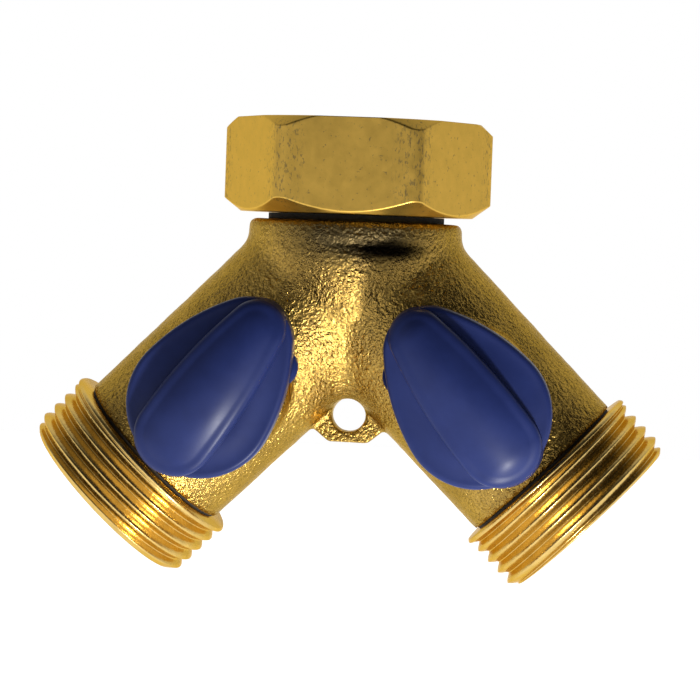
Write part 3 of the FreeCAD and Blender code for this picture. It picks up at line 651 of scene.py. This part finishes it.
def knob(side_name, side, material):
    """Two shells, dished wings and the finger ridge across them, on a round skirt."""
    base = KNOB_FOOT + SKIRT[1]
    rim = base + WING_HEIGHT
    wings_mesh = knob_wings(f"{side_name}_knob_wings", base, rim)
    ridge_mesh = knob_ridge(f"{side_name}_knob_ridge", base, rim, base + RIDGE_HEIGHT)
    place = valve_place(side, KNOB_TURN[side_name])
    body = f"{side_name}_valve"
    wings_piece = show(f"{side_name}_knob_wings", wings_mesh, body, material, place)
    ridge_piece = show(f"{side_name}_knob_ridge", ridge_mesh, body, material, place)
    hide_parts(f"{side_name}_knob")
    skirt(side_name, side, material, place)


def skirt(side_name, side, material, place):
    """The knob's round foot with its stop lug, as one outline."""
    radius, height = SKIRT
    reach, end, angle = LUG
    lug = math.radians(angle)
    centre = Vector((-side * math.sin(lug), math.cos(lug))) * (reach - end)
    outline = []
    for k in range(SKIRT_POINTS):
        turn = 2 * math.pi * k / SKIRT_POINTS
        ray = Vector((math.cos(turn), math.sin(turn)))
        along = ray.dot(centre)
        miss = centre.length_squared - along**2
        far = along + math.sqrt(end**2 - miss) if miss < end**2 and along > 0 else 0
        outline.append(ray * smooth_max(radius, far, 0.8))
    loops = []
    levels = ((0.3, 0), (0.05, 0.06), (0, 0.3), (0, height + 0.5))
    for inset, up in levels:
        loops.append([(*(point - point.normalized() * inset), KNOB_FOOT + up) for point in outline])
    mesh = skin(f"{side_name}_knob_skirt", loops)
    piece = show(f"{side_name}_knob_skirt", mesh, f"{side_name}_valve", material, place)


# ---------------------------------------------------------------- studio


def camera():
    data = bpy.data.cameras.new("camera")
    data.lens = CAMERA_LENS
    data.sensor_width = 36
    data.clip_start = 0.01
    turn = (
        Matrix.Rotation(math.radians(CAMERA_AZIMUTH), 4, "Z")
        @ Matrix.Rotation(math.radians(90 - CAMERA_ELEVATION), 4, "X")
        @ Matrix.Rotation(math.radians(CAMERA_ROLL), 4, "Z")
    )
    back = turn.to_3x3() @ Vector((0, 0, 1))
    view = bpy.data.objects.new("camera", data)
    view.matrix_world = Matrix.Translation((CAMERA_TARGET + back * CAMERA_DISTANCE) * MM) @ turn
    bpy.context.scene.collection.objects.link(view)
    bpy.context.scene.camera = view


def lamp(name, place, target, size, power):
    """A soft square light of so many millimetres, aimed at a point."""
    data = bpy.data.lights.new(name, "AREA")
    data.size = size * MM
    data.energy = power
    light = bpy.data.objects.new(name, data)
    aim = Vector(target) - Vector(place)
    turn = aim.to_track_quat("-Z", "Y").to_matrix().to_4x4()
    light.matrix_world = Matrix.Translation(Vector(place) * MM) @ turn
    bpy.context.scene.collection.objects.link(light)


def surroundings():
    """A bright room behind the object, dimmer on the camera's side and dark to that side's upper right."""
    world = bpy.data.worlds.new("studio")
    world.use_nodes = True
    bpy.context.scene.world = world
    nodes, links = world.node_tree.nodes, world.node_tree.links
    direction = nodes.new("ShaderNodeTexCoord").outputs["Generated"]
    parts = nodes.new("ShaderNodeSeparateXYZ")
    links.new(direction, parts.inputs[0])
    rise = nodes.new("ShaderNodeVectorMath")
    rise.operation = "DOT_PRODUCT"
    rise.inputs[1].default_value = (0.6, 0, 0.75)
    links.new(direction, rise.inputs[0])

    def faded(value, low, high, start, end):
        node = nodes.new("ShaderNodeMapRange")
        node.interpolation_type = "SMOOTHSTEP"
        for socket, number in zip(("From Min", "From Max"), (low, high)):
            node.inputs[socket].default_value = number
        for socket, source in zip(("Value", "To Min", "To Max"), (value, start, end)):
            if hasattr(source, "is_linked"):
                links.new(source, node.inputs[socket])
            else:
                node.inputs[socket].default_value = source
        return node.outputs["Result"]

    front = faded(rise.outputs["Value"], -0.3, 0.4, 0.42, 0.03)
    strength = faded(parts.outputs["Y"], -0.2, 0.8, front, 1.0)
    links.new(strength, nodes["Background"].inputs["Strength"])
    nodes["Background"].inputs["Color"].default_value = (1, 1, 1, 1)


def floor():
    """A plain pale floor, well below the object."""
    size, depth = 3000, -260
    corners = [(-size, -size, depth), (size, -size, depth), (size, size, depth), (-size, size, depth)]
    mesh = bpy.data.meshes.new("floor")
    mesh.from_pydata([Vector(corner) * MM for corner in corners], [], [(0, 1, 2, 3)])
    paint = Paint("floor", 0.9, 0, Emission_Strength=0.9, Emission_Color=(1, 1, 1, 1))
    cloud = paint.noise(300, 2)
    paint.colour(paint.mix(cloud, (0.93, 0.93, 0.93), (0.96, 0.96, 0.96)))
    mesh.materials.append(paint.material)
    piece = bpy.data.objects.new("floor", mesh)
    bpy.context.scene.collection.objects.link(piece)


def finish_small_pieces():
    """Materials for the CAD nodes that are shown as they are."""
    settings = {
        # black_ring is near black, darker than the rubber parts, and fills the narrow gap under the nut
        "black_ring": ((0.001, 0.001, 0.001), (0.003, 0.003, 0.003), 0.4, 0.8),
        "washer_rubber": ((0.012, 0.012, 0.012), (0.02, 0.02, 0.02), 0.4, 0.6),
        "seal_rubber": ((0.012, 0.012, 0.012), (0.02, 0.02, 0.02), 0.3, 0.5),
        "seal_fibre": ((0.01, 0.008, 0.006), (0.025, 0.018, 0.012), 0.4, 0.8),
        "seat_white": ((0.80, 0.80, 0.77), (0.86, 0.86, 0.83), 0.5, 0.4),
        "spring_steel": ((0.42, 0.42, 0.43), (0.5, 0.5, 0.51), 0.3, 0.3, 1),
        "ball_chrome": ((0.68, 0.68, 0.70), (0.75, 0.75, 0.77), 0.5, 0.08, 1, 0.001),
        "stem_brass": ((0.56, 0.40, 0.12), (0.66, 0.48, 0.16), 0.3, 0.3, 1),
    }
    finishes = {name: plain(name, *values) for name, values in settings.items()}
    for part in frame["record"]["subparts"]:
        if part["material_slot"] in finishes:
            node = frame["nodes"][part["node"]]
            node.data.materials.clear()
            node.data.materials.append(finishes[part["material_slot"]])


def main():
    surroundings()
    floor()
    camera()
    lamp("key", (84, -140, -172), (0, 0, -30), 22, 0.6)
    finish_small_pieces()
    casting(cast_brass())
    nut(nut_brass())
    turned = thread_brass()
    blue = knob_plastic()
    for side_name, side in SIDES:
        outlet(side_name, side, turned)
        knob(side_name, side, blue)
    bpy.context.scene.view_settings.view_transform = "Standard"


main()
